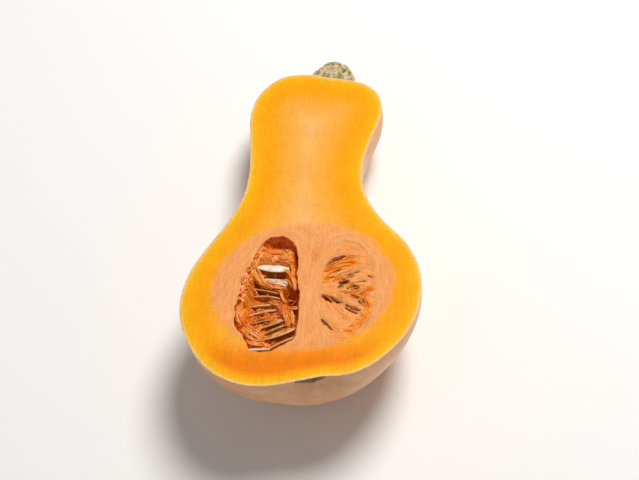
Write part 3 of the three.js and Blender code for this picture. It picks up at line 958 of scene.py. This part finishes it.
# Each bundle's path, its half width and its half thickness.
BUNDLES = [
    # The bright skin that comes down from the shelf, round the first seed and under the second.
    (
        [(-24.1, 70.1, -2.4), (-23.0, 65.6, -2.0), (-20.6, 61.2, -2.4), (-17.6, 58.4, -3), (-13, 57, -4),
         (-8.6, 57.2, -5)], 1.5, 0.5,
    ),
    ([(-24.4, 67, -3), (-22.2, 62.6, -3), (-19.4, 59.4, -4), (-14.6, 57.4, -5)], 1.1, 0.5),
    ([(-23.8, 70.8, -2.4), (-18, 71.3, -2.2), (-12, 71.2, -2.4), (-5, 69.6, -3)], 0.8, 0.5),
    ([(-23.4, 66.2, -2.6), (-21.2, 64.4, -3.4), (-17, 63.8, -4.6)], 0.6, 0.35),
    # Skins by the middle wall.
    ([(-8.6, 66.4, -3), (-5.4, 63.4, -2.6), (-3.4, 58.8, -2.4), (-2.2, 54, -3.4)], 1.0, 0.5),
    ([(-5.6, 70, -3.4), (-4.2, 66, -2.8), (-3.6, 62, -3)], 0.8, 0.4),
    ([(-9.4, 61.4, -4.6), (-6.4, 60, -3.6), (-4, 56.6, -4.4)], 0.6, 0.4),
    # The arch over the lower seeds, and what hangs in it.
    (
        [(-15.4, 49.6, -5.6), (-12.6, 49.2, -4.6), (-9.6, 48, -4), (-7, 44.7, -3.6), (-5.9, 40, -4),
         (-5.2, 35.4, -5)], 0.9, 0.45,
    ),
    ([(-7.4, 46.6, -4.2), (-4.6, 44.2, -3), (-2.2, 43.2, -1.8), (0.4, 42.9, -1.6)], 0.9, 0.4),
    ([(-6.4, 44.4, -3.8), (-5.6, 41, -4.4), (-4.4, 37.6, -5.2)], 1.3, 0.8),
    ([(-3.4, 43.4, -2.6), (-2.6, 39.6, -3.4), (-2.2, 36, -4.6)], 0.8, 0.5),
    # The pale fibre, and thin ones across the gaps.
    ([(-17.4, 42.2, -4.2), (-15.4, 40.9, -3), (-14, 39, -3), (-13.4, 37.4, -4)], 0.42, 0.42),
    ([(-18.8, 40.4, -5), (-16.6, 39.3, -4.4), (-14.4, 38.7, -4.4)], 0.25, 0.25),
    ([(-19.4, 58.8, -6.5), (-16.8, 56.6, -6), (-15.8, 53.2, -7)], 0.22, 0.22),
    ([(-24.6, 57.4, -5), (-22, 56.2, -5.4), (-20.4, 53.6, -6.6)], 0.25, 0.25),
    ([(-12.4, 57, -5.6), (-9.8, 55.2, -5.2), (-8.6, 51.6, -5.8), (-6.4, 49.2, -6.6)], 0.4, 0.3),
    ([(-13.4, 65.8, -5.4), (-13, 63.6, -5.2)], 0.25, 0.25),
    # Round the left sac and over the clump at the bottom.
    ([(-26.4, 47.6, -4), (-28.2, 44.4, -2.6), (-28.6, 39.6, -2.6), (-26.6, 35.6, -4)], 1.1, 0.6),
    ([(-26, 33.4, -2.6), (-22.6, 31.4, -1.9), (-19.6, 29.6, -2.6), (-16.4, 27.4, -4)], 1.2, 0.6),
    ([(-25, 31, -2.4), (-22.4, 27.6, -2.2), (-18.6, 26, -3), (-14.8, 26.4, -4.6)], 1.0, 0.5),
    ([(-17.6, 36, -4), (-18, 33, -3.2), (-20, 30, -2.6)], 0.8, 0.4),
    ([(-23.4, 26.4, -2.4), (-20.6, 24.6, -2.6), (-16, 24.6, -4)], 0.8, 0.45),
    # The shelf's strings.
    ([(-22.6, 74.6, -2.4), (-17, 76, -2.2), (-10, 75.4, -2.4), (-5, 73.4, -3.4)], 0.8, 0.35),
    ([(-22.8, 72.6, -2.2), (-16, 73.4, -2), (-9, 73.2, -2.2), (-4.4, 71.4, -3)], 0.8, 0.35),
    ([(-20.6, 78, -3.4), (-15, 78, -3), (-9, 77, -3.2), (-5, 75.4, -4)], 0.7, 0.35),
]

work = bmesh.new()
for path, wide, thick in BUNDLES:
    bundle(work, path, wide, thick)
sac(work, centre=(-27.2, 40.4, -5.2), size=(2.6, 5.4, 3.0), turn=-8)
sac(work, centre=(-4.7, 39.2, -6.8), size=(1.5, 3.6, 2.4), turn=6)
sac(work, centre=(-26.4, 53.6, -4.4), size=(2.6, 2.2, 2.2), turn=20)

# Thin fibres, torn loose, that lie over the bed and along the left wall.
LOOSE_FIBRES = 260
for _ in range(LOOSE_FIBRES):
    start = Vector((chance.uniform(-28, -3), chance.uniform(22, 80), 0))
    if start.x > -17 and chance.random() < 0.45:
        start.x = chance.uniform(-29, -22)
    out = start - LEFT_CENTRE
    if out.length > rim_reach(math.atan2(out.y, out.x)) - 1:
        continue
    heading = chance.gauss(0.15 if start.x > -20 else 1.3, 0.5)
    reach = chance.uniform(3, 8)
    path = []
    for i in range(4):
        point = start + Vector((math.cos(heading), math.sin(heading), 0)) * reach * i / 3
        point.z = max(left_surface(point), -9) + (0.25 if i in (0, 3) else chance.uniform(0.3, 1.0))
        heading += chance.gauss(0, 0.35)
        path.append(point)
    size = chance.uniform(0.12, 0.3)
    strand(work, path, size, size, steps=9)
joined_to(left_pulp, work, pulp)

# Wet pulp: shiny orange strings, paler where they dry at the top, and painted darker deep down between the
# seeds, which is painted shade.
tree = pulp_tree
object_place = add(tree, "TexCoord").outputs["Object"]
place = add(tree, "VectorMath", object_place, (1000, 1000, 1000), operation="MULTIPLY")
lumps = add(tree, "TexNoise", place, Scale=1 / 4, Detail=3.0, Roughness=0.6)
lumps = add(tree, "MapRange", lumps, 0.36, 0.64, interpolation_type="SMOOTHSTEP")
colour = add(tree, "MixRGB", lumps, "#ee780f", "#f99a2e")
string_place = add(tree, "VectorMath", object_place, (1000 / 4, 1000, 1000 / 1.2), operation="MULTIPLY")
strings = add(tree, "TexNoise", string_place, Scale=1.0, Detail=3.0, Roughness=0.6)
pale = add(tree, "MapRange", strings, 0.52, 0.72, 0.0, 0.7, interpolation_type="SMOOTHSTEP")
colour = add(tree, "MixRGB", pale, colour, "#fbb466")
below = add(tree, "Attribute", attribute_name="below_cut")
dried = add(tree, "MapRange", below, 3.0, 1.0, 0.0, 0.4, interpolation_type="SMOOTHSTEP")
colour = add(tree, "MixRGB", dried, colour, "#f4a65c")
# Painted shade: the pulp is darkened 6 to 12 mm below the cut, deep between the seeds.
deep_painted_shade = add(tree, "MapRange", below, 6.0, 12.0, 0.0, 0.8, interpolation_type="SMOOTHSTEP")
colour = add(tree, "MixRGB", deep_painted_shade, colour, "#c4560f")
tree.links.new(colour.outputs[0], pulp_shader.inputs["Base Color"])
bump = add(tree, "Bump", Strength=0.6, Distance=0.0004, Height=strings)
tree.links.new(bump.outputs["Normal"], pulp_shader.inputs["Normal"])
mark(left_pulp.data, "below_cut", lambda place: -place.z)
placed(left_pulp, "left_pulp", "pulp", "pulp_left")

# ---- Stem --------------------------------------------------------------------------------------------------
# The half of the dry stub of stem that stands in the top of the neck. It is ridged and corky, beige and olive
# with dark pits. It is smoothed from its plain solid, and then bulged and roughened.

work = bmesh.new()
work.from_mesh(frame["nodes"]["stem"].data)
work.transform(to_knife)
bmesh.ops.remove_doubles(work, verts=work.verts, dist=SAME_PLACE)
bmesh.ops.join_triangles(work, faces=work.faces, angle_face_threshold=0.3, angle_shape_threshold=1.0)
crease = work.edges.layers.float.new("crease_edge")
for edge in work.edges:
    if len(edge.link_faces) == 2 and edge.calc_face_angle() > 1.1:
        edge[crease] = 0.7
stem = object_of(mesh_of(work, "stem"), "stem")
smooth = stem.modifiers.new("smooth", "SUBSURF")
smooth.levels = smooth.render_levels = 3
smooth.use_limit_surface = False
stem = object_of(applied(stem, "stem"), "stem")
outward = [vert.normal.copy() for vert in stem.data.vertices]
STEM_END = cad_box[1][1] - 0.0003
CUT_EDGE = 0.2
SUNK = -1.0
for vert, out in zip(stem.data.vertices, outward):
    rough = ragged(vert.co, 2.8, 0.55) + ragged(vert.co, 1.2, 0.4)
    turn = math.atan2(vert.co.z - STEM_AXIS.z, vert.co.x - STEM_AXIS.x)
    rough += 0.8 * noise.noise(Vector((math.cos(turn) * 4, math.sin(turn) * 4, vert.co.y / 9)))
    shoulder = 0.5 + 1.2 * fade(vert.co.y, 188, 194)
    push = out * rough + Vector((out.x, 0, out.z)) * shoulder
    if abs(vert.co.z) < CUT_EDGE:
        push = Vector((out.x * shoulder, 0, -abs(ragged(vert.co, 1.2, 0.5))))
    vert.co += push
    vert.co.y -= max((to_shared @ vert.co).y - STEM_END, 0) * 1000
    # What stands in the neck stays under the cut flesh.
    skin, skin_out, _, _ = skin_tree.find_nearest(vert.co)
    if (vert.co - skin).dot(skin_out) < 0:
        vert.co.z = min(vert.co.z, SUNK)

cork, cork_tree, cork_shader = material("dry corky stem", "#b5a46c", Roughness=0.8)
stem.data.materials.clear()
stem.data.materials.append(cork)
# Dry cork: dull, with no shine, in beige and olive ridges with dark pits.
tree = cork_tree
object_place = add(tree, "TexCoord").outputs["Object"]
place = add(tree, "VectorMath", object_place, (1000, 1000, 1000), operation="MULTIPLY")
ridge_place = add(tree, "VectorMath", object_place, (1000 / 2.0, 1000 / 6, 1000 / 2.0), operation="MULTIPLY")
ridges = add(tree, "TexNoise", ridge_place, Scale=1.0, Detail=3.0, Roughness=0.6)
ridges = add(tree, "MapRange", ridges, 0.35, 0.65, interpolation_type="SMOOTHSTEP")
colour = add(tree, "MixRGB", ridges, "#8a7a44", "#d2c294")
patches = add(tree, "TexNoise", place, Scale=1 / 4, Detail=3.0, Roughness=0.6)
patches = add(tree, "MapRange", patches, 0.4, 0.6, 0.0, 0.6, interpolation_type="SMOOTHSTEP")
colour = add(tree, "MixRGB", patches, colour, "#ddc7a0")
pits = add(tree, "TexNoise", place, Scale=1 / 1.3, Detail=4.0, Roughness=0.6)
pitted = add(tree, "MapRange", pits, 0.54, 0.66, 0.0, 0.85, interpolation_type="SMOOTHSTEP")
colour = add(tree, "MixRGB", pitted, colour, "#5f4a20")
tree.links.new(colour.outputs[0], cork_shader.inputs["Base Color"])
bump = add(tree, "Bump", Strength=0.8, Distance=0.0006, Height=pits)
tree.links.new(bump.outputs["Normal"], cork_shader.inputs["Normal"])
placed(stem, "stem_stub", "stem", "stem")
